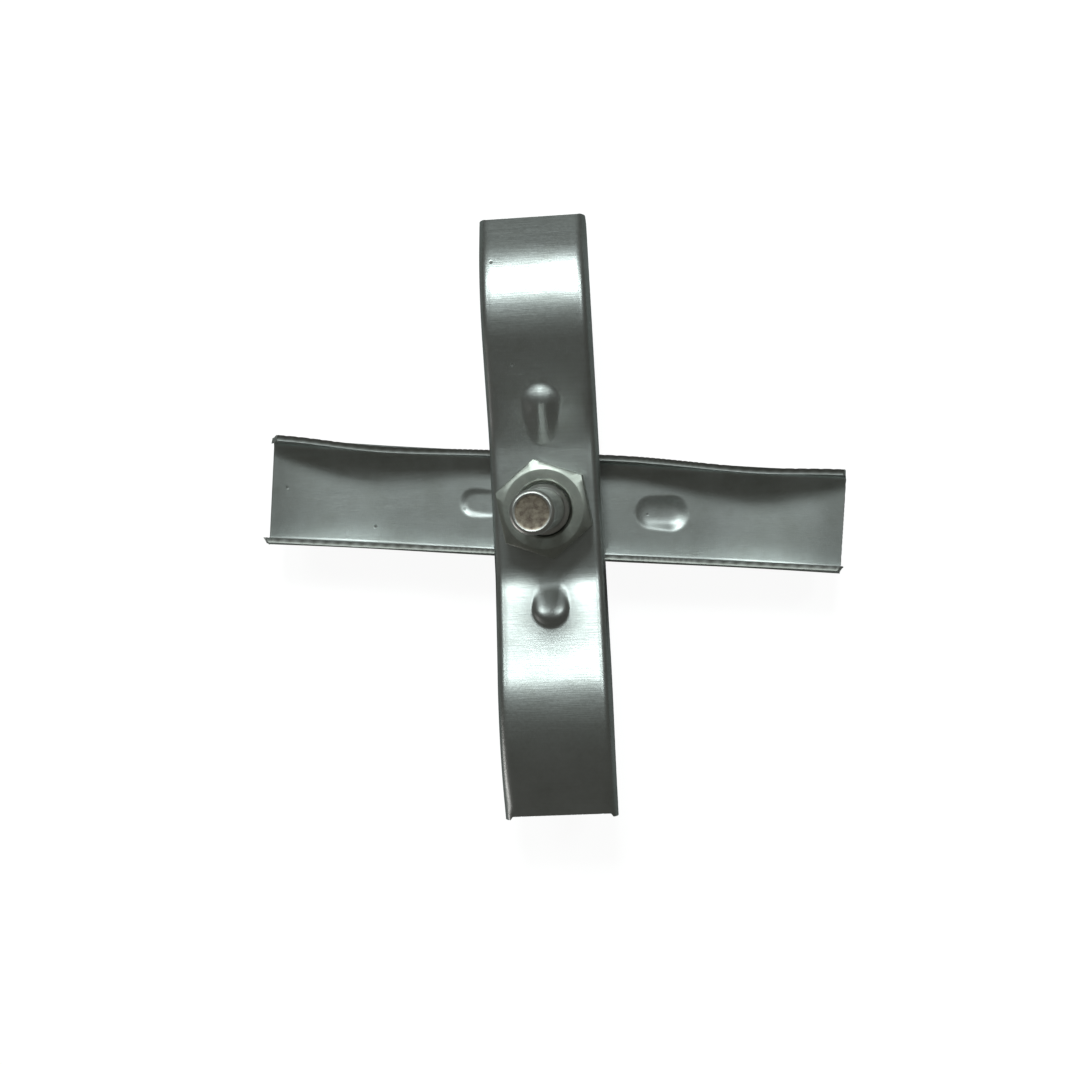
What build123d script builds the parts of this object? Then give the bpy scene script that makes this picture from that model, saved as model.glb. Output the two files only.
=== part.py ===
from build123d import *
from math import asin, atan2, cos, degrees, radians, sin, sqrt, tan
import os

# Mortar mixing paddle head: two pressed sheet-steel blades crossed on one bolt.
# Millimetres. +Z is the bolt's axis and points up to the drill, +Y runs along the front blade.
# The origin is on the axis, at the shoulder where the plain shank that the chuck grips begins.

# ---- blades: one pressing used twice, the second one turned over ----
SHEET = 1.2                  # sheet thickness
BLADE_WIDTH = 21.6           # outside the side walls, at the hole
BLADE_TAPER = 0.012          # width lost per millimetre of length, towards the narrow tip
BLADE_LENGTH = 117.5         # tip to tip, along the web
WALL_DEPTH = 8.0             # from the flat seat's outer face down to the rims
OUTER_BEND = 2.0             # outside radius of the two long bends
INNER_BEND = OUTER_BEND - SHEET
BOLT_HOLE_R = 5.08
WIDE_EAR = 0.8               # how far the side walls run past the web at the wide tip
NARROW_EAR = 0.4
EAR_INSET = 0.2              # the tip's notch is this much narrower than the inside of the channel
RIM_CORNER_R = 0.6           # rounding of the walls' free corners
SNIPPED_CORNER = 2.0         # one wall's corner is snipped off at the wide tip
WALL_END_LEAN = 9.0          # degrees that the walls' ends lean back from the bend to the rim

# gull-wing line of the web, from the hole outwards
SEAT_HALF = 11.0             # half of the flat under the nut
ROOT_RADIUS = 30.0           # bend from the flat into the rising wing
WING_SLOPE = 12.0            # degrees
CREST_X = 39.5               # distance from the hole to the highest point
CREST_RADIUS = 38.0          # the wing turns over on this radius, out to the tip

# stiffening rib pressed outwards on each arm with a round-nosed punch, held steeper than the wing
RIB_RADIUS = 5.0
RIB_TAIL_X = 17.0
RIB_NOSE_X = 20.8
RIB_TAIL_RISE = 0.7
RIB_NOSE_RISE = 1.25

# the strips lie a little off centre on their holes, and the rear one's ribs too: hand work
FRONT_STRIP_SHIFT = -1.6
FRONT_RIB_SHIFT = 0.0
REAR_STRIP_SHIFT = 0.6
REAR_RIB_SHIFT = 4.2
CROSSING_TURN = -6.1         # degrees that the rear blade stands off square

# ---- bolt, M10 x 55, its end turned down to a plain 8 mm shank ----
THREAD_R = 5.0
THREAD_CHAMFER = 0.8
THREAD_PROUD = 0.8           # thread that shows above the nut
SHANK_R = 4.0
SHANK_LENGTH = 28.0
SHANK_CHAMFER = 0.6
HEX_FLATS = 17.0
HEAD_HEIGHT = 6.4
HEAD_TURN = 14.0
NUT_HEIGHT = 8.0
NUT_TURN = 39.0              # degrees from +X to the nut's first corner
NUT_BORE_R = 5.05
NUT_COUNTERSINK = 0.6
HEX_CHAMFER_RATIO = 0.90     # chamfer circle over the width across flats
HEX_CHAMFER_ANGLE = 18.0
HEAD_FACE_R = 7.8            # round bearing face under the head
HEAD_FACE_HEIGHT = 0.4

# ---- split spring washer for M10 ----
WASHER_INNER_R = 5.15
WASHER_OUTER_R = 9.05
WASHER_THICKNESS = 2.2
WASHER_SLIT = 1.0
WASHER_SLIT_LEAN = 20.0

# ---- heights of the stack, from the shoulder down ----
FRONT_SEAT_Z = -THREAD_PROUD - NUT_HEIGHT
RIM_Z = FRONT_SEAT_Z - WALL_DEPTH
REAR_SEAT_Z = RIM_Z - WALL_DEPTH
HEAD_TOP_Z = REAR_SEAT_Z - WASHER_THICKNESS
HEAD_BOTTOM_Z = HEAD_TOP_Z - HEAD_HEIGHT

SLOPE = radians(WING_SLOPE)
CREST_START_X = CREST_X - CREST_RADIUS * sin(SLOPE)
ROOT_END_X = SEAT_HALF + ROOT_RADIUS * sin(SLOPE)
ROOT_END_Z = ROOT_RADIUS * (1 - cos(SLOPE))
CREST_START_Z = ROOT_END_Z + (CREST_START_X - ROOT_END_X) * tan(SLOPE)
CREST_CENTRE_Z = CREST_START_Z - CREST_RADIUS * cos(SLOPE)


def on_circle(centre_x, centre_z, radius, angle):
    """Point on a circle, its angle measured from straight up towards the tip."""
    return (centre_x + radius * sin(angle), centre_z + radius * cos(angle))


def wing(tip_x, depth):
    """Edges of one wing's line, at a depth under the outer face, from the seat to the tip."""
    root = [
        on_circle(SEAT_HALF, ROOT_RADIUS, -(ROOT_RADIUS + depth), -SLOPE * share)
        for share in (0, 0.5, 1)
    ]
    radius = CREST_RADIUS - depth
    tip_angle = asin((tip_x - CREST_X) / radius)
    crest = [
        on_circle(CREST_X, CREST_CENTRE_Z, radius, angle)
        for angle in (-SLOPE, (tip_angle - SLOPE) / 2, tip_angle)
    ]
    return [ThreePointArc(*root), Line(root[2], crest[0]), ThreePointArc(*crest)]


def half_width(x, inset):
    """Half the blade's width at a distance from the hole, less an inset on each side."""
    return (BLADE_WIDTH - BLADE_TAPER * x) / 2 - inset


def channel_block(wide_tip, narrow_tip, depth, floor_z, bend):
    """Solid under the gull-wing line, tapering in plan, with its two long upper edges rounded."""
    right = wing(narrow_tip, depth)
    left = [mirror(edge, Plane.YZ) for edge in wing(wide_tip, depth)]
    seat = Line((-SEAT_HALF, -depth), (SEAT_HALF, -depth))
    right_tip = right[2] @ 1
    left_tip = left[2] @ 1
    sides = Polyline(
        (right_tip.X, right_tip.Y),
        (narrow_tip, floor_z),
        (-wide_tip, floor_z),
        (left_tip.X, left_tip.Y),
    )
    outline = make_face([*right, seat, *left, sides])
    block = extrude(Plane.XZ * outline, amount=BLADE_WIDTH, both=True)
    reach = BLADE_LENGTH
    plan = make_face(
        Polyline(
            (-reach, -half_width(-reach, depth)),
            (reach, -half_width(reach, depth)),
            (reach, half_width(reach, depth)),
            (-reach, half_width(-reach, depth)),
            close=True,
        )
    )
    block &= extrude(plan, amount=BLADE_WIDTH, both=True)
    long_edges = [
        edge
        for edge in block.edges()
        if abs(edge.center().Y) > BLADE_WIDTH / 4
        and edge.center().Z > floor_z + 2
        and abs((edge @ 0).X - (edge @ 1).X) > 1
    ]
    return fillet(long_edges, bend)


def rounded_rims(block):
    """The block with the free lower corners of its side walls rounded at both tips."""
    lowest = block.bounding_box().min.Z
    corners = [
        edge
        for edge in block.edges().filter_by(Axis.Y)
        if abs(edge.center().Z - lowest) < 1e-3
    ]
    return fillet(corners, RIM_CORNER_R)


def wing_z(x):
    """Height of the outer face between the seat and the crest, at a distance from the hole."""
    if x < ROOT_END_X:
        return ROOT_RADIUS - sqrt(ROOT_RADIUS**2 - (x - SEAT_HALF) ** 2)
    return ROOT_END_Z + (x - ROOT_END_X) * tan(SLOPE)


def rib(side, shift, depth):
    """Round-ended bar lying half sunk in a wing; depth is 0 for its outside, SHEET for its inside."""
    radius = RIB_RADIUS - depth
    tail_x = RIB_TAIL_X + side * shift
    nose_x = RIB_NOSE_X + side * shift
    tail_z = wing_z(tail_x) - (RIB_RADIUS - RIB_TAIL_RISE) / cos(SLOPE)
    nose_z = wing_z(nose_x) - (RIB_RADIUS - RIB_NOSE_RISE) / cos(SLOPE)
    run = nose_x - tail_x
    lean = degrees(atan2(nose_z - tail_z, run))
    length = sqrt(run**2 + (nose_z - tail_z) ** 2)
    quarter = radius * sqrt(0.5)
    half_bar = make_face(
        [
            ThreePointArc((-radius, 0), (-quarter, quarter), (0, radius)),
            Line((0, radius), (length, radius)),
            ThreePointArc((length, radius), (length + quarter, quarter), (length + radius, 0)),
            Line((length + radius, 0), (-radius, 0)),
        ]
    )
    bar = revolve(half_bar, Axis.X)
    placed = Pos(tail_x, 0, tail_z) * Rot(0, -lean, 0) * bar
    return placed if side > 0 else mirror(placed, Plane.YZ)


def tip_notch(tip_x, side):
    """Cutter that shortens the web, but not the side walls, at one tip."""
    width = 2 * half_width(side * tip_x, SHEET + EAR_INSET)
    return Pos(side * (tip_x + 5), 0, 0) * Box(10, width, 40)


def wall_end_cut(end_x, side):
    """Cutter that leans the walls' ends back, from under the bend down to the rims."""
    hinge = Pos(side * end_x, 0, -OUTER_BEND) * Rot(0, side * WALL_END_LEAN, 0)
    return hinge * Pos(side * 5, 0, -10) * Box(10, 40, 20)


def blade(strip_shift, rib_shift):
    """One blade, hole at the origin, length along X, outer face up, its narrow tip at +X."""
    half = BLADE_LENGTH / 2
    wide_tip = half - strip_shift
    narrow_tip = half + strip_shift
    wide_end = wide_tip + WIDE_EAR
    narrow_end = narrow_tip + NARROW_EAR
    outside = rounded_rims(channel_block(wide_end, narrow_end, 0, -WALL_DEPTH, OUTER_BEND))
    below_ribs = -WALL_DEPTH - RIB_RADIUS
    inside = channel_block(wide_end + 1, narrow_end + 1, SHEET, below_ribs, INNER_BEND)
    for side in (-1, 1):
        outside += rib(side, rib_shift, 0)
        inside += rib(side, rib_shift, SHEET)
    pressed = outside - inside
    pressed -= tip_notch(wide_tip, -1)
    pressed -= tip_notch(narrow_tip, 1)
    pressed -= wall_end_cut(wide_end, -1)
    pressed -= wall_end_cut(narrow_end, 1)
    snip_centre = Pos(-wide_end, -half_width(-wide_end, 0), -WALL_DEPTH)
    pressed -= snip_centre * Rot(0, 45, 0) * Box(SNIPPED_CORNER, 4, SNIPPED_CORNER)
    return pressed - Cylinder(BOLT_HOLE_R, 10)


def hexagon(height, top_chamfered, bottom_chamfered):
    """Hexagonal prism standing on z = 0, its chosen faces chamfered to a circle."""
    corner_r = HEX_FLATS / sqrt(3)
    face_r = HEX_FLATS / 2 * HEX_CHAMFER_RATIO
    drop = (corner_r - face_r) * tan(radians(HEX_CHAMFER_ANGLE))
    prism = extrude(RegularPolygon(corner_r, 6), amount=height)
    low_r = face_r if bottom_chamfered else corner_r
    high_r = face_r if top_chamfered else corner_r
    profile = make_face(
        Polyline(
            (0, 0),
            (low_r, 0),
            (corner_r, drop),
            (corner_r, height - drop),
            (high_r, height),
            (0, height),
            close=True,
        )
    )
    return prism & revolve(Plane.XZ * profile, Axis.Z)


def clamp_nut():
    body = hexagon(NUT_HEIGHT, True, True)
    body -= Pos(0, 0, NUT_HEIGHT / 2) * Cylinder(NUT_BORE_R, NUT_HEIGHT)
    mouth = Cone(NUT_BORE_R, NUT_BORE_R + NUT_COUNTERSINK, NUT_COUNTERSINK)
    body -= Pos(0, 0, NUT_HEIGHT - NUT_COUNTERSINK / 2) * mouth
    body -= Pos(0, 0, NUT_COUNTERSINK / 2) * Rot(180, 0, 0) * mouth
    return Pos(0, 0, FRONT_SEAT_Z) * Rot(0, 0, NUT_TURN) * body


def shank_bolt():
    """Hex head, M10 thread drawn at its outside diameter, and the turned-down shank."""
    head = hexagon(HEAD_HEIGHT - HEAD_FACE_HEIGHT, False, True)
    turned = make_face(
        Polyline(
            (0, HEAD_BOTTOM_Z + HEAD_HEIGHT / 2),
            (HEAD_FACE_R, HEAD_BOTTOM_Z + HEAD_HEIGHT / 2),
            (HEAD_FACE_R, HEAD_TOP_Z),
            (THREAD_R, HEAD_TOP_Z),
            (THREAD_R, -THREAD_CHAMFER),
            (THREAD_R - THREAD_CHAMFER, 0),
            (SHANK_R, 0),
            (SHANK_R, SHANK_LENGTH - SHANK_CHAMFER),
            (SHANK_R - SHANK_CHAMFER, SHANK_LENGTH),
            (0, SHANK_LENGTH),
            close=True,
        )
    )
    spindle = revolve(Plane.XZ * turned, Axis.Z)
    return spindle + Pos(0, 0, HEAD_BOTTOM_Z) * Rot(0, 0, HEAD_TURN) * head


def lock_washer():
    ring = Cylinder(WASHER_OUTER_R, WASHER_THICKNESS) - Cylinder(WASHER_INNER_R, WASHER_THICKNESS)
    slit = Rot(WASHER_SLIT_LEAN, 0, 0) * Box(WASHER_OUTER_R, WASHER_SLIT, 3 * WASHER_THICKNESS)
    ring -= Pos((WASHER_INNER_R + WASHER_OUTER_R) / 2, 0, 0) * slit
    return Pos(0, 0, REAR_SEAT_Z - WASHER_THICKNESS / 2) * ring


def front_blade():
    upright = blade(FRONT_STRIP_SHIFT, FRONT_RIB_SHIFT)
    return Pos(0, 0, FRONT_SEAT_Z) * Rot(0, 0, 90) * upright


def rear_blade():
    turned_over = Rot(180, 0, 0) * blade(REAR_STRIP_SHIFT, REAR_RIB_SHIFT)
    return Pos(0, 0, REAR_SEAT_Z) * Rot(0, 0, CROSSING_TURN) * turned_over


os.makedirs("parts", exist_ok=True)
for piece in (front_blade, rear_blade, shank_bolt, clamp_nut, lock_washer):
    export_step(piece(), f"parts/{piece.__name__}.step")
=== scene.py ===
from collections import namedtuple
from math import cos, pi, radians, sin, sqrt, tan, tanh

import bpy
from mathutils import Matrix, Vector


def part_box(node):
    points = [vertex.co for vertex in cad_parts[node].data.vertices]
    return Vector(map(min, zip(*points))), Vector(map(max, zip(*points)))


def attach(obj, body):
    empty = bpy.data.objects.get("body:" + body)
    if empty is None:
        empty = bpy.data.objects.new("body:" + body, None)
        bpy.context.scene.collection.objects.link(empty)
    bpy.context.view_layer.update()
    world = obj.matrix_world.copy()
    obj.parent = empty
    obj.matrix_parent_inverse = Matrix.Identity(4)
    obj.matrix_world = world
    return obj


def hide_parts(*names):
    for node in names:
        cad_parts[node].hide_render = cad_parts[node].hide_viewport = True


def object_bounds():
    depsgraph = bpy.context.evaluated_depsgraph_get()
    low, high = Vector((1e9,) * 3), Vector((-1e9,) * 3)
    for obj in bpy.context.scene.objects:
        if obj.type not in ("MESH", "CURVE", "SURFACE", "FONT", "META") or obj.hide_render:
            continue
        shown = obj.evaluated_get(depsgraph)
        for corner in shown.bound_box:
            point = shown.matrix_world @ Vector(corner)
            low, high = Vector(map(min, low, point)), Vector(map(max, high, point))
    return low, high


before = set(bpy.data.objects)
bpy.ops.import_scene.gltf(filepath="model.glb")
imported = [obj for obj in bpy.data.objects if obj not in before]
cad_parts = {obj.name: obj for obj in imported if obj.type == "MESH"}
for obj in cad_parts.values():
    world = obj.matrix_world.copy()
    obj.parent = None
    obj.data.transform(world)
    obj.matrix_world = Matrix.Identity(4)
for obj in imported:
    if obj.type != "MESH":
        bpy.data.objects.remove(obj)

# Looks of the mixing paddle: pressed galvanised blades, threaded bolt, nut and washer.
# Lengths are worked out in millimetres and written to the meshes in metres.
MM = 0.001
cad_low, cad_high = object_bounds()

# ---------------------------------------------------------------- sizes, most as in the CAD
SHEET = 1.0             # thinner than the CAD's 1.2, because worn rims look thin
BLADE_WIDTH = 21.6
BLADE_TAPER = 0.012
BLADE_LENGTH = 117.5
WALL_DEPTH = 7.96       # a hair short of the CAD's, so that the blades' rims never touch
OUTER_BEND = 2.0
EAR_INSET = 0.2
RIM_CORNER_R = 0.6
SNIP_LEG = 1.9          # leg of the snipped corner at the wide tip
BOLT_HOLE_R = 5.08
SEAT_HALF = 11.0
ROOT_RADIUS = 30.0
TIP_SLOPE = radians(28.0)       # a web falls no more steeply than this at its tips
RIM_LEAN = 0.12         # how much lower a rim's inner edge is than its outer edge
CROSSING_TURN = radians(-6.1)

THREAD_R = 5.0
THREAD_PITCH = 1.5
THREAD_CHAMFER = 0.8
SHANK_R = 4.0
SHANK_LENGTH = 28.0
SHANK_CHAMFER = 0.6
HEX_FLATS = 17.0
HEX_CHAMFER_RATIO = 0.90
HEX_CHAMFER_ANGLE = radians(18.0)
HEAD_HEIGHT = 6.4
HEAD_FACE_R = 7.8
HEAD_FACE_HEIGHT = 0.4
HEAD_TURN = radians(14.0)
NUT_HEIGHT = 8.0
NUT_TURN = radians(39.0)
NUT_BORE_R = 5.05
NUT_COUNTERSINK = 0.6
WASHER_INNER_R = 5.15
WASHER_OUTER_R = 9.05
WASHER_THICKNESS = 2.2
WASHER_SLIT = 1.0
WASHER_SLIT_LEAN = radians(20.0)

FRONT_SEAT_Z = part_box("clamp_nut")[0].z / MM
REAR_SEAT_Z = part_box("lock_washer")[1].z / MM
HEAD_BOTTOM_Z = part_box("shank_bolt")[0].z / MM
HEAD_TOP_Z = HEAD_BOTTOM_Z + HEAD_HEIGHT


# ---------------------------------------------------------------- mesh helpers
def new_object(name, verts, faces):
    """Object from vertices in millimetres and faces, smooth shaded."""
    mesh = bpy.data.meshes.new(name)
    mesh.from_pydata([tuple(float(c) * MM for c in v) for v in verts], [], faces)
    mesh.validate()
    mesh.polygons.foreach_set("use_smooth", [True] * len(mesh.polygons))
    piece = bpy.data.objects.new(name, mesh)
    bpy.context.scene.collection.objects.link(piece)
    return piece


def grid_faces(rows, cols, start=0, wrap=False, flip=False):
    """Quads of a rows x cols grid of vertices, joined round its columns if wrap."""
    faces = []
    for i in range(rows - 1):
        for j in range(cols if wrap else cols - 1):
            k = (j + 1) % cols
            quad = (
                start + i * cols + j,
                start + i * cols + k,
                start + (i + 1) * cols + k,
                start + (i + 1) * cols + j,
            )
            faces.append(quad[::-1] if flip else quad)
    return faces


def apply_modifiers(piece):
    """Puts the result of the piece's modifiers into its mesh."""
    graph = bpy.context.evaluated_depsgraph_get()
    graph.update()
    made = bpy.data.meshes.new_from_object(piece.evaluated_get(graph))
    piece.modifiers.clear()
    piece.data = made
    piece.data.name = piece.name


def bevel(piece, width, angle, segments=2):
    """Rounds the edges sharper than an angle in degrees, and keeps the flat faces flat."""
    edges = piece.modifiers.new("edges", "BEVEL")
    edges.width = width * MM
    edges.segments = segments
    edges.limit_method = "ANGLE"
    edges.angle_limit = radians(angle)
    normals = piece.modifiers.new("normals", "WEIGHTED_NORMAL")
    normals.weight = 80
    normals.thresh = 0.0
    apply_modifiers(piece)


def drill(piece, radius, low, high):
    """Cuts a round hole on the axis through the piece, between two heights."""
    around = 72
    angles = [2 * pi * k / around for k in range(around)]
    verts = [(radius * cos(a), radius * sin(a), z) for z in (low, high) for a in angles]
    faces = grid_faces(2, around, wrap=True)
    faces.append(tuple(reversed(range(around))))
    faces.append(tuple(range(around, 2 * around)))
    cutter = new_object("cutter", verts, faces)
    cut = piece.modifiers.new("hole", "BOOLEAN")
    cut.operation = "DIFFERENCE"
    cut.solver = "EXACT"
    cut.object = cutter
    apply_modifiers(piece)
    bpy.data.objects.remove(cutter)


# ---------------------------------------------------------------- the pressed blades
class Arm:
    """Gull-wing line of one arm: flat seat, root bend, straight slope, crest and tip."""

    def __init__(self, slope, crest_x, crest_radius, presses=(), root_radius=ROOT_RADIUS):
        self.slope = radians(slope)
        self.root_radius = root_radius
        self.crest_x = crest_x
        self.crest_radius = crest_radius
        self.presses = presses
        rise, fall = sin(self.slope), cos(self.slope)
        self.root_end_x = SEAT_HALF + root_radius * rise
        self.root_end_z = root_radius * (1 - fall)
        straight = crest_x - crest_radius * rise - self.root_end_x
        self.crest_centre_z = self.root_end_z + straight * tan(self.slope) - crest_radius * fall

    def line(self, x, depth):
        """Height at a distance from the hole, at a depth under the outer face."""
        root_r = self.root_radius + depth
        crest_r = self.crest_radius - depth
        if x < SEAT_HALF:
            return -depth
        if x < SEAT_HALF + root_r * sin(self.slope):
            return self.root_radius - sqrt(root_r**2 - (x - SEAT_HALF) ** 2)
        if x < self.crest_x - crest_r * sin(self.slope):
            along = (x - self.root_end_x) * tan(self.slope)
            return self.root_end_z + along - depth / cos(self.slope)
        past = x - self.crest_x - crest_r * sin(TIP_SLOPE)
        if past > 0:
            tip_start_z = self.crest_centre_z + crest_r * cos(TIP_SLOPE)
            return tip_start_z - past * tan(TIP_SLOPE)
        return self.crest_centre_z + sqrt(crest_r**2 - (x - self.crest_x) ** 2)

    def height(self, x, depth):
        """The line with the small steps that the press left."""
        return self.line(x, depth) + sum(step(x, *press) for press in self.presses)


def step(x, place, width, amount):
    """Smooth rise of an amount round a place on one arm."""
    return amount * (1 + tanh((x - place) / width)) / 2


def half_width(x, inset):
    """Half the blade's width at x, at a depth under its outer face."""
    return (BLADE_WIDTH - BLADE_TAPER * x) / 2 - inset


def soft_min(a, b, blend):
    """The smaller of two heights, rounded where they meet."""
    return -soft_max(-a, -b, blend)


def soft_max(a, b, blend):
    """The larger of two heights, with a small fillet where they meet."""
    reach = max(blend - abs(a - b), 0) / blend
    return max(a, b) + reach * reach * blend / 4


# Rib: side of the hole, distances of tail and nose, their rises over the web, the bar's
# radius, the flat top's rises at tail and nose, its rounding, and the fillet to the web.
Rib = namedtuple(
    "Rib",
    "side tail_x nose_x tail_rise nose_rise radius tail_cap nose_cap round_top fillet",
)
RIB_STEPS = 24


def rib_height(x, y, rib, arm, depth):
    """Height of a rib, a round-ended bar under a sloping flat top, or None clear of it."""
    radius = rib.radius - depth
    tail_z = arm.height(rib.tail_x, 0) - (rib.radius - rib.tail_rise) / cos(arm.slope)
    nose_z = arm.height(rib.nose_x, 0) - (rib.radius - rib.nose_rise) / cos(arm.slope)
    length = rib.nose_x - rib.tail_x
    best = None
    for k in range(RIB_STEPS + 1):
        share = k / RIB_STEPS
        along = rib.side * x - (rib.tail_x + share * length)
        left = radius * radius - along * along - y * y
        if left > 0:
            height = tail_z + share * (nose_z - tail_z) + sqrt(left)
            best = height if best is None else max(best, height)
    if best is None:
        return None
    share = (rib.side * x - rib.tail_x) / length
    top = rib.tail_cap + share * (rib.nose_cap - rib.tail_cap)
    return soft_min(best, arm.height(rib.side * x, depth) + top, rib.round_top)


def ease(t):
    """Smooth step from 0 to 1."""
    t = min(max(t, 0.0), 1.0)
    return t * t * (3 - 2 * t)


def bowed(x, points):
    """Smooth line through (place, amount) pairs, level beyond the first and last."""
    if x <= points[0][0]:
        return points[0][1]
    for (x0, a0), (x1, a1) in zip(points, points[1:]):
        if x < x1:
            return a0 + (a1 - a0) * ease((x - x0) / (x1 - x0))
    return points[-1][1]


def wobble(x, y, phase):
    """Faint unevenness left by hand pressing, in millimetres."""
    return (
        0.014 * sin(0.23 * x + phase) * cos(0.19 * y + 0.7 * phase)
        + 0.006 * sin(0.61 * x - 0.31 * y + 2.1 * phase)
        + 0.002 * sin(1.1 * x + 0.7 * y + 3.3 * phase)
    )


TIP_REACH, TIP_SPACING = 2.0, 0.16
RIB_REACH, RIB_SPACING = 6.5, 0.27
PLAIN_SPACING = 0.62


def stations(wide_tip, narrow_tip, ribs):
    """Places along the blade, closer together at the ribs and the tips."""
    marks = []
    x = -wide_tip
    while x < narrow_tip - 1e-6:
        marks.append(x)
        from_rib = min(abs(rib.side * x - (rib.tail_x + rib.nose_x) / 2) for rib in ribs)
        from_tip = min(x + wide_tip, narrow_tip - x)
        if from_tip < TIP_REACH:
            x += TIP_SPACING
        elif from_rib < RIB_REACH:
            x += RIB_SPACING
        else:
            x += PLAIN_SPACING
    marks.append(narrow_tip)
    return marks


RIB_SHARE = 0.48
EDGE_STEPS = 8
MIDDLE_STEPS = 18


def web_places():
    """Shares of the half web, from the bend to the middle, closer together over the ribs."""
    edge_to_rib = [1 - (1 - RIB_SHARE) * k / EDGE_STEPS for k in range(1, EDGE_STEPS + 1)]
    rib_to_middle = [RIB_SHARE * (1 - k / MIDDLE_STEPS) for k in range(1, MIDDLE_STEPS + 1)]
    return edge_to_rib + rib_to_middle


WALL_STEPS = 8
BEND_STEPS = 6
CALM_RIM = 3.0          # height over the rim in which the unevenness grows from nothing


def blade_section(x, depth, rim_z, bows, phase, ribs, arms):
    """Points (y, z) across the blade at x, from one rim over the web to the other."""
    bend = OUTER_BEND - depth
    half = half_width(x, depth)
    arm = arms[0] if x < 0 else arms[1]
    top = arm.height(abs(x), depth)
    points = []
    for hand in (-1, 1):
        half_points = []
        low = rim_z[0 if hand < 0 else 1]
        for k in range(WALL_STEPS + 1):
            half_points.append((half, low + (top - bend - low) * k / WALL_STEPS))
        for k in range(1, BEND_STEPS + 1):
            turn = pi / 2 * k / BEND_STEPS
            half_points.append((half - bend + bend * cos(turn), top - bend + bend * sin(turn)))
        for share in web_places():
            y = (half - bend) * share
            z = top
            for rib in ribs:
                bar = rib_height(x, y, rib, arm, depth) if rib.side * x > 0 else None
                if bar is not None:
                    z = soft_max(z, bar, rib.fillet)
            half_points.append((y, z))
        moved = []
        for y, z in half_points:
            drop = max(top - z, 0.0) / (top + WALL_DEPTH)
            flare = bowed(x, bows[0 if hand < 0 else 1]) * drop
            lift = wobble(x, hand * y, phase) * ease((z - low) / CALM_RIM)
            moved.append((hand * (y + flare), z + lift))
        points += moved if hand < 0 else moved[-2::-1]
    return points


EAR_REACH = 2.5         # length over which a wall's end is drawn out past the web
EAR_BLEND = 0.6
EAR_START = 0.35
EAR_TOP_Z = -0.5


def rim_heights(from_end, snip, depth):
    """Heights of the two rims, rounded at a wall's end, the first one snipped there if snip."""
    round_off = 0.0
    if from_end < RIM_CORNER_R:
        run = RIM_CORNER_R - from_end
        round_off = RIM_CORNER_R - sqrt(RIM_CORNER_R**2 - run**2)
    snipped = max(round_off, SNIP_LEG - from_end) if snip else round_off
    lean = RIM_LEAN if depth else 0.0
    return -WALL_DEPTH + snipped + lean, -WALL_DEPTH + round_off + lean


def blade_row(x, tip, end, depth, bows, phase, ribs, arms):
    """Points (x, y, z) across the blade, drawn out at the tips to make the walls' ears."""
    ear, end_lean = end
    near_tip = ease(1 - (tip - abs(x)) / EAR_REACH)
    from_end = (tip - abs(x)) + ear * (1 - near_tip)
    rim_z = rim_heights(from_end, x < 0, depth)
    notch_edge = half_width(x, SHEET + EAR_INSET)
    row = []
    for y, z in blade_section(x, depth, rim_z, bows, phase, ribs, arms):
        out = ease((abs(y) - notch_edge + EAR_START) / EAR_BLEND)
        below_bend = max(EAR_TOP_Z - z, 0.0) / (WALL_DEPTH + EAR_TOP_Z)
        stretched = abs(x) + near_tip * out * (ear - end_lean * below_bend)
        row.append((stretched if x > 0 else -stretched, y, z))
    return row


def sheet_faces(rows, cols):
    """Faces of a sheet: the outer grid, the inner grid, and strips that join their edges."""
    inner = rows * cols
    faces = grid_faces(rows, cols)
    faces += grid_faces(rows, cols, start=inner, flip=True)
    for i in range(rows - 1):
        for j, flip in ((0, True), (cols - 1, False)):
            a, b = i * cols + j, (i + 1) * cols + j
            quad = (a, b, inner + b, inner + a)
            faces.append(quad[::-1] if flip else quad)
    for j in range(cols - 1):
        for i, flip in ((0, False), (rows - 1, True)):
            a, b = i * cols + j, i * cols + j + 1
            quad = (a, b, inner + b, inner + a)
            faces.append(quad[::-1] if flip else quad)
    return faces


def blade(name, strip_shift, ribs, bows, phase, arms, ends):
    """One blade, hole at the origin, length along X, outer face up, its narrow tip at +X."""
    wide_tip = BLADE_LENGTH / 2 - strip_shift
    narrow_tip = BLADE_LENGTH / 2 + strip_shift
    places = stations(wide_tip, narrow_tip, ribs)
    verts = []
    for depth in (0.0, SHEET):
        for x in places:
            tip = narrow_tip if x > 0 else wide_tip
            end = ends[1] if x > 0 else ends[0]
            row = blade_row(x, tip, end, depth, bows, phase, ribs, arms)
            verts += row
    piece = new_object(name, verts, sheet_faces(len(places), len(row)))
    drill(piece, BOLT_HOLE_R, -6, 3)
    bevel(piece, width=0.10, angle=50)
    return piece


# Walls' ends, wide tip first: how far they pass the web, and how far they lean back.
FRONT_ENDS = ((0.7, 1.4), (0.35, 1.4))
REAR_ENDS = ((0.1, 0.85), (0.25, 1.2))
# How far each wall leans outwards at its rim, at places along the blade: (x, lean).
FRONT_BOWS = (
    ((-60, -0.25), (-30, 0.0)),
    ((-60, 0.35), (-30, 0.0)),
)
REAR_BOWS = (
    ((-58.9, -0.5), (-56.6, 0.55), (-34, -0.55), (-8, 0.1), (15, 0.45), (41, -0.33), (59, 0.3)),
    ((-58, -0.85), (0, -0.95), (59, -1.0)),
)
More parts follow.
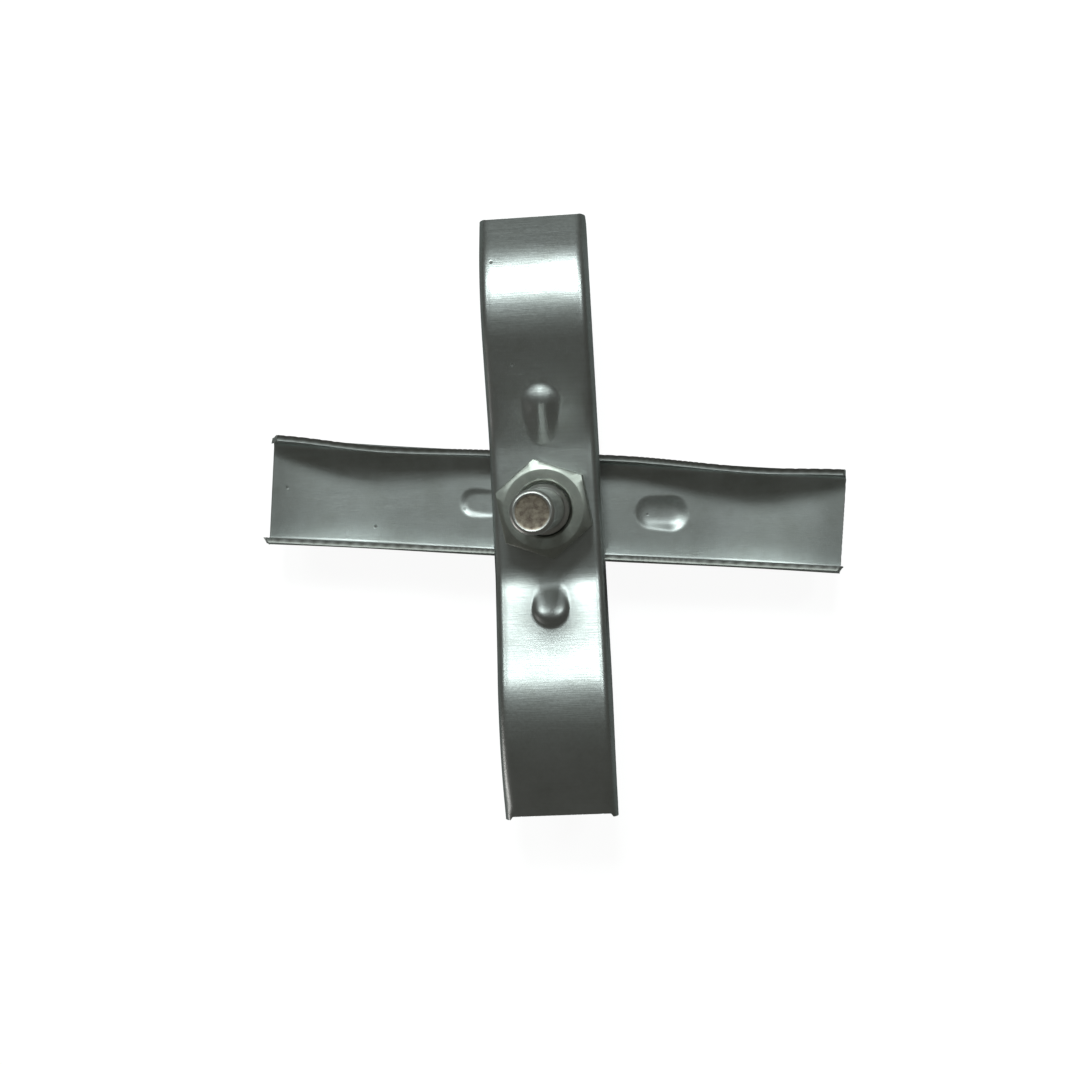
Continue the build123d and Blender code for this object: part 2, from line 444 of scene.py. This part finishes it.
# Lines of the two arms of each blade, wide tip first: slope, crest place, crest radius,
# small steps that the press left (place, width, rise), and the root bend's radius.
FRONT_ARMS = (
    Arm(14.2, 41.6, 36.0, ((10.0, 3.0, -0.10), (15.0, 1.6, 0.22), (31.0, 3.5, 0.28)), 22.0),
    Arm(12.5, 38.5, 28.0, ((10.0, 3.0, -0.10),)),
)
REAR_ARMS = (Arm(11.0, 39.2, 38.0), Arm(11.0, 39.2, 38.0))
FRONT_RIBS = (
    Rib(1, 15.6, 21.5, 0.12, 0.95, 4.4, 3.0, 3.0, 0.2, 1.2),
    Rib(-1, 17.2, 20.4, 1.15, 1.60, 5.0, 0.60, 1.70, 1.3, 0.35),
)
REAR_RIBS = (
    Rib(1, 21.3, 25.3, 0.9, 1.25, 5.4, 0.75, 1.05, 0.6, 1.0),
    Rib(-1, 12.6, 16.7, 0.8, 0.9, 5.0, 0.10, 0.40, 0.3, 0.5),
)


def front_blade():
    """Blade under the nut, lengthwise along Y, its wide tip towards -Y."""
    piece = blade("blade_front", -1.6, FRONT_RIBS, FRONT_BOWS, 0.4, FRONT_ARMS, FRONT_ENDS)
    place = Matrix.Translation((0, 0, FRONT_SEAT_Z * MM)) @ Matrix.Rotation(pi / 2, 4, "Z")
    piece.data.transform(place)
    return piece


def rear_blade():
    """Blade over the bolt's head, turned over and across the other one."""
    piece = blade("blade_rear", 0.6, REAR_RIBS, REAR_BOWS, 2.3, REAR_ARMS, REAR_ENDS)
    turned_over = Matrix.Rotation(CROSSING_TURN, 4, "Z") @ Matrix.Rotation(pi, 4, "X")
    piece.data.transform(Matrix.Translation((0, 0, REAR_SEAT_Z * MM)) @ turned_over)
    return piece


# ---------------------------------------------------------------- bolt, nut and washer
AROUND = 96


def ring_stack(name, rings):
    """Closed solid from rings of equal length, its two ends closed by flat caps."""
    cols = len(rings[0])
    verts = [v for ring in rings for v in ring]
    faces = grid_faces(len(rings), cols, wrap=True)
    faces.append(tuple(reversed(range(cols))))
    last = (len(rings) - 1) * cols
    faces.append(tuple(range(last, last + cols)))
    return new_object(name, verts, faces)


THREAD_DEPTH = 0.6134 * THREAD_PITCH
CREST_SHARE = 0.14
FLANK_SHARE = 0.66
ROOT_ROUNDING = 0.12


def thread_radius(angle, z):
    """Radius of an M10 thread: flat crests, sloping flanks and rounded roots."""
    share = (z / THREAD_PITCH - angle / (2 * pi)) % 1.0
    from_crest = abs(share - 0.5) * 2
    cut = min(max((from_crest - CREST_SHARE) / FLANK_SHARE, 0.0), 1.0)
    return THREAD_R - THREAD_DEPTH * (cut - ROOT_ROUNDING * sin(pi * cut) * cut)


RINGS_PER_PITCH = 14
SHANK_RINGS = 46
TURNING_MARK = 0.012
END_ROUGHNESS = 0.035
SHOULDER_FILLET = ((4.2, 0.0), (4.02, 0.02), (3.98, 0.15), (4.0, 0.4))     # (radius, z)
THREAD_START_Z = HEAD_TOP_Z - 0.5
THREAD_END_Z = -0.02
# Shank's end, a lip round a shallow dish: (in from the shank's side, up from the chamfer).
SHANK_LIP = (
    (0.02, 0.05), (0.12, 0.22), (0.32, 0.38), (0.56, 0.51),
    (0.67, 0.54), (0.78, 0.52), (1.10, 0.40), (1.30, 0.37),
)
SHANK_DISH = ((1.6, 0.36), (0.8, 0.35), (0.3, 0.35))      # (radius, up from the chamfer)


def bolt_shaft():
    """Thread from the head to the shoulder, then the turned-down shank with its cut end."""
    angles = [2 * pi * k / AROUND for k in range(AROUND)]
    rings = []
    z = THREAD_START_Z
    while z < THREAD_END_Z:
        limit = THREAD_R - max(z + THREAD_CHAMFER, 0)
        ring = []
        for a in angles:
            r = min(thread_radius(a, z), limit)
            ring.append((r * cos(a), r * sin(a), z))
        rings.append(ring)
        z += THREAD_PITCH / RINGS_PER_PITCH
    profile = list(SHOULDER_FILLET)
    top = SHANK_LENGTH - SHANK_CHAMFER
    for k in range(1, SHANK_RINGS + 1):
        profile.append((SHANK_R - TURNING_MARK * (k % 2), 0.4 + (top - 0.5) * k / SHANK_RINGS))
    profile += [(SHANK_R - inwards, top + up) for inwards, up in SHANK_LIP]
    profile += [(r, top + up) for r, up in SHANK_DISH]
    for r, z in profile:
        rough = END_ROUGHNESS * ease((z - top) / 0.4)
        ring = []
        for a in angles:
            uneven = r - rough * (0.5 + 0.5 * sin(5 * a + 1.0) * cos(3 * a))
            ring.append((uneven * cos(a), uneven * sin(a), z))
        rings.append(ring)
    return ring_stack("bolt_shaft", rings)


def hex_radius(angle, turn):
    """Distance from the axis to a hexagon's side, its first corner at turn."""
    local = (angle - turn) % (pi / 3) - pi / 6
    return HEX_FLATS / 2 / cos(local)


def hex_rings(turn, low, high, chamfer_low, chamfer_high):
    """Rings up the outside of a hexagon with chamfered faces."""
    angles = [turn + 2 * pi * k / AROUND for k in range(AROUND)]
    face_r = HEX_FLATS / 2 * HEX_CHAMFER_RATIO
    lean = tan(HEX_CHAMFER_ANGLE)

    def ring(radius_of, z_of):
        return [(radius_of(a) * cos(a), radius_of(a) * sin(a), z_of(a)) for a in angles]

    def side(a):
        return hex_radius(a, turn)

    def drop(a):
        return (side(a) - face_r) * lean

    rings = []
    if chamfer_low:
        rings.append(ring(lambda a: face_r, lambda a: low))
        rings.append(ring(side, lambda a: low + drop(a)))
    else:
        rings.append(ring(side, lambda a: low))
    middle = (low + high) / 2
    rings.append(ring(side, lambda a: middle))
    if chamfer_high:
        rings.append(ring(side, lambda a: high - drop(a)))
        rings.append(ring(lambda a: face_r, lambda a: high))
    else:
        rings.append(ring(side, lambda a: high))
    return rings, angles


def clamp_nut():
    """Hexagon nut with both faces chamfered and its bore countersunk at both ends."""
    low, high = FRONT_SEAT_Z, FRONT_SEAT_Z + NUT_HEIGHT
    rings, angles = hex_rings(NUT_TURN, low, high, True, True)
    mouth = NUT_BORE_R + NUT_COUNTERSINK

    def circle(r, z):
        return [(r * cos(a), r * sin(a), z) for a in angles]

    rings.append(circle(mouth, high))
    rings.append(circle(NUT_BORE_R, high - NUT_COUNTERSINK))
    rings.append(circle(NUT_BORE_R, low + NUT_COUNTERSINK))
    rings.append(circle(mouth, low))
    cols = len(angles)
    verts = [v for ring in rings for v in ring]
    faces = grid_faces(len(rings), cols, wrap=True)
    last = (len(rings) - 1) * cols
    for j in range(cols):
        k = (j + 1) % cols
        faces.append((last + j, last + k, k, j))
    piece = new_object("nut", verts, faces)
    bevel(piece, width=0.12, angle=12)
    return piece


HEAD_CORE_R = 4.6
HEAD_DISH = ((6.2, 0.0), (5.9, 0.12))       # (radius, depth) of the mark in the head's top


def bolt_head():
    """Hexagon head with a round bearing face under it and a shallow dish in its top."""
    top = HEAD_TOP_Z - HEAD_FACE_HEIGHT
    rings, angles = hex_rings(HEAD_TURN, HEAD_BOTTOM_Z, top, True, False)
    for r, z in ((HEAD_FACE_R, top), (HEAD_FACE_R, HEAD_TOP_Z), (HEAD_CORE_R, HEAD_TOP_Z)):
        rings.append([(r * cos(a), r * sin(a), z) for a in angles])
    for r, depth in HEAD_DISH:
        rings.insert(0, [(r * cos(a), r * sin(a), HEAD_BOTTOM_Z + depth) for a in angles])
    piece = ring_stack("bolt_head", rings)
    bevel(piece, width=0.2, angle=24, segments=3)
    return piece


WASHER_STEPS = 120
SLIT_BLEND = 0.04       # share of the turn over which the leaning slit straightens out


def lock_washer():
    """Split ring, the slit leaning as a spring washer's does."""
    gap = WASHER_SLIT / 2 / ((WASHER_INNER_R + WASHER_OUTER_R) / 2)
    top = REAR_SEAT_Z
    low = top - WASHER_THICKNESS
    verts = []
    for k in range(WASHER_STEPS + 1):
        share = k / WASHER_STEPS
        angle = gap + (2 * pi - 2 * gap) * share
        for r, z in (
            (WASHER_INNER_R, low),
            (WASHER_OUTER_R, low),
            (WASHER_OUTER_R, top),
            (WASHER_INNER_R, top),
        ):
            lean = (z - (low + top) / 2) * tan(WASHER_SLIT_LEAN) / r
            fade = ease(1 - min(share, 1 - share) / SLIT_BLEND)
            turn = angle + lean * fade
            verts.append((r * cos(turn), r * sin(turn), z))
    faces = grid_faces(WASHER_STEPS + 1, 4, wrap=True)
    faces.append((3, 2, 1, 0))
    last = WASHER_STEPS * 4
    faces.append((last, last + 1, last + 2, last + 3))
    piece = new_object("washer", verts, faces)
    bevel(piece, width=0.18, angle=40)
    return piece


# ---------------------------------------------------------------- materials
class Nodes:
    """Short way to write a procedural metal."""

    def __init__(self, name):
        self.material = bpy.data.materials.new(name)
        self.material.use_nodes = True
        self.tree = self.material.node_tree
        self.tree.nodes.clear()
        self.shader = self.add("ShaderNodeBsdfPrincipled")
        output = self.add("ShaderNodeOutputMaterial")
        self.link(self.shader.outputs["BSDF"], output.inputs["Surface"])
        self.place = self.add("ShaderNodeTexCoord").outputs["Object"]

    def add(self, kind, **settings):
        node = self.tree.nodes.new(kind)
        for key, value in settings.items():
            setattr(node, key, value)
        return node

    def link(self, source, target):
        self.tree.links.new(source, target)

    def mapped(self, scale, turn=0.0, move=(0, 0, 0)):
        node = self.add("ShaderNodeMapping")
        node.inputs["Location"].default_value = move
        node.inputs["Rotation"].default_value = (0, 0, turn)
        node.inputs["Scale"].default_value = scale
        self.link(self.place, node.inputs["Vector"])
        return node.outputs["Vector"]

    def noise(self, vector, scale, detail=3.0, rough=0.55):
        node = self.add("ShaderNodeTexNoise")
        node.inputs["Scale"].default_value = scale
        node.inputs["Detail"].default_value = detail
        node.inputs["Roughness"].default_value = rough
        self.link(vector, node.inputs["Vector"])
        return node.outputs["Fac"]

    def spots(self, vector, scale):
        node = self.add("ShaderNodeTexVoronoi", feature="F1")
        node.inputs["Scale"].default_value = scale
        self.link(vector, node.inputs["Vector"])
        return node

    def ramp(self, source, low, high, to_low=0.0, to_high=1.0):
        node = self.add("ShaderNodeMapRange")
        node.inputs["From Min"].default_value = low
        node.inputs["From Max"].default_value = high
        node.inputs["To Min"].default_value = to_low
        node.inputs["To Max"].default_value = to_high
        self.link(source, node.inputs["Value"])
        return node.outputs["Result"]

    def math(self, operation, a, b):
        node = self.add("ShaderNodeMath", operation=operation)
        for socket, value in zip(node.inputs, (a, b)):
            if isinstance(value, (int, float)):
                socket.default_value = value
            else:
                self.link(value, socket)
        return node.outputs["Value"]

    def blend(self, factor, a, b):
        node = self.add("ShaderNodeMix", data_type="RGBA", blend_type="MIX")
        for name, value in (("Factor", factor), ("A", a), ("B", b)):
            sockets = [s for s in node.inputs if s.name == name and s.enabled]
            socket = sockets[-1] if name != "Factor" else sockets[0]
            if isinstance(value, (int, float)):
                socket.default_value = value
            elif isinstance(value, tuple):
                socket.default_value = (*value, 1.0)
            else:
                self.link(value, socket)
        return [s for s in node.outputs if s.enabled][0]

    def bump(self, height, strength, distance, below=None):
        node = self.add("ShaderNodeBump")
        node.inputs["Strength"].default_value = strength
        node.inputs["Distance"].default_value = distance
        self.link(height, node.inputs["Height"])
        if below is not None:
            self.link(below, node.inputs["Normal"])
        return node.outputs["Normal"]

    def finish(self, colour, roughness, normal):
        self.link(colour, self.shader.inputs["Base Color"])
        self.link(roughness, self.shader.inputs["Roughness"])
        self.link(normal, self.shader.inputs["Normal"])
        self.shader.inputs["Metallic"].default_value = 1.0
        return self.material


def galvanised(name, turn, seed, dulled=0.0, painted_light_gain=1.0):
    """Dull zinc-coated sheet: rolled grain, blotches, pits, darker rims; the last argument adds
    painted light.
    """
    n = Nodes(name)
    shift = (seed, 0.7 * seed, 0.3 * seed)
    even = n.mapped((1, 1, 1), turn, shift)
    grain_space = n.mapped((1.0, 22.0, 6.0), turn, shift)
    grain = n.noise(grain_space, 60, 4.0, 0.6)
    fine_grain = n.noise(n.mapped((2.0, 60.0, 30.0), turn, shift), 90, 3.0, 0.6)
    clouds = n.noise(even, 85, 5.0, 0.6)
    patches = n.noise(even, 260, 4.0, 0.6)
    speckle = n.noise(even, 1500, 2.0, 0.5)
    # The gain below scales both tones; above 1 it paints light onto the sheet, making a lit
    # copy of it.
    dull = (0.48 * painted_light_gain, 0.50 * painted_light_gain, 0.485 * painted_light_gain)
    bright = (0.61 * painted_light_gain, 0.635 * painted_light_gain, 0.63 * painted_light_gain)
    colour = n.blend(n.ramp(clouds, 0.35, 0.68), dull, bright)
    colour = n.blend(n.ramp(patches, 0.52, 0.75, 0.0, 0.35), colour, (0.43, 0.44, 0.41))
    colour = n.blend(n.ramp(grain, 0.35, 0.7, 0.0, 0.28), colour, (0.66, 0.70, 0.70))
    pit = n.spots(even, 150)
    pits = n.ramp(pit.outputs["Distance"], 0.035, 0.075, 1.0, 0.0)
    chosen = n.ramp(n.noise(even, 70, 2.0, 0.5), 0.56, 0.60)
    pits = n.math("MULTIPLY", pits, chosen)
    colour = n.blend(n.math("MULTIPLY", pits, 0.75), colour, (0.13, 0.13, 0.12))
    split = n.add("ShaderNodeSeparateXYZ")
    n.link(n.place, split.inputs["Vector"])
    # Rims are coloured darker over a thin band about their plane.
    rim_plane = FRONT_SEAT_Z - WALL_DEPTH
    from_rim = n.math("ABSOLUTE", n.math("SUBTRACT", split.outputs["Z"], rim_plane * MM), 0.0)
    rim = n.ramp(from_rim, 0.14 * MM, 0.22 * MM, 0.85, 0.0)
    colour = n.blend(rim, colour, (0.24, 0.24, 0.22))
    roughness = n.ramp(clouds, 0.3, 0.75, 0.37, 0.32)
    roughness = n.math("ADD", roughness, n.ramp(grain, 0.3, 0.7, dulled + 0.02, dulled - 0.02))
    roughness = n.math("ADD", roughness, n.ramp(speckle, 0.35, 0.75, 0.012, -0.02))
    roughness = n.math("ADD", roughness, n.math("MULTIPLY", pits, 0.25))
    normal = n.bump(patches, 0.05, 0.0003)
    normal = n.bump(speckle, 0.07, 0.00012, normal)
    normal = n.bump(fine_grain, 0.20, 0.00006, normal)
    normal = n.bump(n.math("MULTIPLY", pits, -1.0), 0.5, 0.00012, normal)
    return n.finish(colour, roughness, normal)


def zinc_plate(name):
    """Bright zinc on the nut, slightly yellow-green, with darker specks."""
    n = Nodes(name)
    even = n.mapped((1, 1, 1))
    clouds = n.noise(even, 240, 4.0, 0.6)
    speckle = n.noise(even, 1400, 3.0, 0.6)
    colour = n.blend(n.ramp(clouds, 0.35, 0.7), (0.38, 0.40, 0.365), (0.52, 0.54, 0.495))
    colour = n.blend(n.ramp(speckle, 0.55, 0.75, 0.0, 0.3), colour, (0.30, 0.30, 0.27))
    roughness = n.ramp(clouds, 0.3, 0.75, 0.42, 0.35)
    normal = n.bump(clouds, 0.10, 0.0004)
    normal = n.bump(speckle, 0.12, 0.0001, normal)
    return n.finish(colour, roughness, normal)


STAIN_R = 2.90


def turned_steel(name):
    """Bolt steel: turning marks across the axis, and a brown stain on the shank's cut end."""
    n = Nodes(name)
    even = n.mapped((1, 1, 1))
    rings = n.noise(n.mapped((0.3, 0.3, 14.0)), 220, 3.0, 0.6)
    clouds = n.noise(even, 300, 4.0, 0.6)
    colour = n.blend(n.ramp(clouds, 0.35, 0.7), (0.58, 0.58, 0.555), (0.78, 0.78, 0.755))
    colour = n.blend(n.ramp(rings, 0.4, 0.7, 0.0, 0.4), colour, (0.84, 0.84, 0.82))
    parts = n.add("ShaderNodeSeparateXYZ")
    n.link(n.place, parts.inputs["Vector"])
    across = n.math("MULTIPLY", parts.outputs["X"], parts.outputs["X"])
    across = n.math("ADD", across, n.math("MULTIPLY", parts.outputs["Y"], parts.outputs["Y"]))
    from_axis = n.math("SQRT", across, 0.0)
    inside_rim = n.ramp(from_axis, STAIN_R * MM, (STAIN_R + 0.28) * MM, 1.0, 0.0)
    at_end = n.ramp(parts.outputs["Z"], (SHANK_LENGTH - 0.55) * MM, (SHANK_LENGTH - 0.45) * MM)
    stain = n.math("MULTIPLY", inside_rim, at_end)
    mottled = n.noise(even, 900, 4.0, 0.65)
    rust = n.blend(n.ramp(mottled, 0.35, 0.65), (0.18, 0.13, 0.10), (0.47, 0.40, 0.31))
    colour = n.blend(n.math("MULTIPLY", stain, 0.92), colour, rust)
    roughness = n.ramp(clouds, 0.3, 0.7, 0.38, 0.30)
    roughness = n.math("ADD", roughness, n.math("MULTIPLY", stain, 0.14))
    normal = n.bump(rings, 0.12, 0.00008)
    normal = n.bump(mottled, 0.25, 0.00008, normal)
    return n.finish(colour, roughness, normal)


def spring_steel(name):
    """Dark zinc plate on the washer."""
    n = Nodes(name)
    even = n.mapped((1, 1, 1))
    clouds = n.noise(even, 260, 4.0, 0.6)
    colour = n.blend(n.ramp(clouds, 0.35, 0.7), (0.26, 0.27, 0.27), (0.38, 0.39, 0.39))
    roughness = n.ramp(clouds, 0.3, 0.7, 0.45, 0.36)
    normal = n.bump(clouds, 0.12, 0.0003)
    return n.finish(colour, roughness, normal)


# ---------------------------------------------------------------- the pieces
def add_piece(piece, body, node, material):
    """Gives a piece its material and body, and hides the CAD part that it stands for."""
    piece.data.materials.clear()
    piece.data.materials.append(material)
    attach(piece, body)
    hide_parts(node)


steel = turned_steel("turned_steel")
add_piece(
    front_blade(), "spindle", "front_blade",
    galvanised("galvanised_front", pi / 2, 0.013),
)
# The rear blade's sheet is painted 12% lighter than the front's: painted light that makes up
# for the shade in its trough.
add_piece(
    rear_blade(), "rear_arm", "rear_blade",
    galvanised("galvanised_rear", CROSSING_TURN, 0.057, 0.105, 1.12),
)
add_piece(bolt_shaft(), "spindle", "shank_bolt", steel)
add_piece(bolt_head(), "spindle", "shank_bolt", steel)
add_piece(clamp_nut(), "spindle", "clamp_nut", zinc_plate("zinc_plate"))
add_piece(lock_washer(), "spindle", "lock_washer", spring_steel("spring_steel"))


# ---------------------------------------------------------------- floor, lights and camera
FLOOR_HALF = 4000.0
FLOOR_GAP = 0.02


def floor():
    """Plain white table, as a lit studio sweep looks. Reflections see it much darker."""
    reach = FLOOR_HALF
    z = cad_low.z / MM - FLOOR_GAP
    corners = [(-reach, -reach, z), (reach, -reach, z), (reach, reach, z), (-reach, reach, z)]
    plane = new_object("floor", corners, [(0, 1, 2, 3)])
    material = bpy.data.materials.new("floor")
    material.use_nodes = True
    tree = material.node_tree
    tree.nodes.clear()
    output = tree.nodes.new("ShaderNodeOutputMaterial")
    mix = tree.nodes.new("ShaderNodeMixShader")
    path = tree.nodes.new("ShaderNodeLightPath")
    dull = tree.nodes.new("ShaderNodeBsdfDiffuse")
    dull.inputs["Color"].default_value = (0.30, 0.31, 0.30, 1)
    white = tree.nodes.new("ShaderNodeBsdfPrincipled")
    white.inputs["Base Color"].default_value = (0.25, 0.25, 0.25, 1)
    white.inputs["Roughness"].default_value = 1.0
    white.inputs["Specular IOR Level"].default_value = 0.0
    white.inputs["Emission Color"].default_value = (1, 1, 1, 1)
    white.inputs["Emission Strength"].default_value = 0.93
    tree.links.new(path.outputs["Is Camera Ray"], mix.inputs["Fac"])
    tree.links.new(dull.outputs["BSDF"], mix.inputs[1])
    tree.links.new(white.outputs["BSDF"], mix.inputs[2])
    tree.links.new(mix.outputs["Shader"], output.inputs["Surface"])
    plane.data.materials.append(material)


STUDIO_WHITE = (0.90, 1.0, 0.985)
LIGHT_DISTANCE = 1.2
KEY_RISE = radians(34.5)        # from straight above towards +Y
LEFT_RISE = radians(34)
LEFT_TURN = radians(28)


def area_light(name, towards, size, power, colour):
    """Soft box that shines on the hub from a direction (x, y, z)."""
    data = bpy.data.lights.new(name, "AREA")
    data.shape = "RECTANGLE"
    data.size, data.size_y = size
    data.energy = power
    data.color = colour
    lamp = bpy.data.objects.new(name, data)
    direction = Vector(towards).normalized()
    lamp.location = direction * LIGHT_DISTANCE
    lamp.rotation_euler = direction.to_track_quat("Z", "Y").to_euler()
    bpy.context.scene.collection.objects.link(lamp)


def studio():
    """Key, side and back lights, and a dim room that the camera sees as white."""
    key = (0.005, sin(KEY_RISE), cos(KEY_RISE))
    left = (-sin(LEFT_TURN), sin(LEFT_RISE), cos(LEFT_RISE))
    area_light("key", key, (0.22, 0.24), 4.2, STUDIO_WHITE)
    area_light("left", left, (0.5, 0.24), 2.0, STUDIO_WHITE)
    area_light("right", (0.42, 0.40, 0.82), (0.2, 0.2), 1.4, STUDIO_WHITE)
    area_light("behind", (-0.75, -0.60, 0.06), (1.0, 0.4), 2.0, (1.0, 0.96, 0.94))
    world = bpy.data.worlds.new("studio")
    bpy.context.scene.world = world
    world.use_nodes = True
    tree = world.node_tree
    tree.nodes.clear()
    output = tree.nodes.new("ShaderNodeOutputWorld")
    mix = tree.nodes.new("ShaderNodeMixShader")
    path = tree.nodes.new("ShaderNodeLightPath")
    room = tree.nodes.new("ShaderNodeBackground")
    room.inputs["Color"].default_value = (1.0, 1.0, 0.90, 1)
    room.inputs["Strength"].default_value = 0.075
    seen = tree.nodes.new("ShaderNodeBackground")
    seen.inputs["Color"].default_value = (1, 1, 1, 1)
    seen.inputs["Strength"].default_value = 1.0
    tree.links.new(path.outputs["Is Camera Ray"], mix.inputs["Fac"])
    tree.links.new(room.outputs["Background"], mix.inputs[1])
    tree.links.new(seen.outputs["Background"], mix.inputs[2])
    tree.links.new(mix.outputs["Shader"], output.inputs["Surface"])


CAMERA_PLACE = (0.01946, 0.00438, 0.28135)
CAMERA_TURNS = (-1.994, 4.310, -3.025)
CAMERA_LENS = 50.16


def camera():
    """Camera almost straight above the shank, a little to the right of it."""
    data = bpy.data.cameras.new("camera")
    data.sensor_width = 36.0
    data.lens = CAMERA_LENS
    data.clip_start = 0.01
    data.clip_end = 20.0
    view = bpy.data.objects.new("camera", data)
    view.location = CAMERA_PLACE
    view.rotation_euler = [radians(turn) for turn in CAMERA_TURNS]
    bpy.context.scene.collection.objects.link(view)
    bpy.context.scene.camera = view


floor()
studio()
camera()
bpy.context.scene.view_settings.view_transform = "Standard"
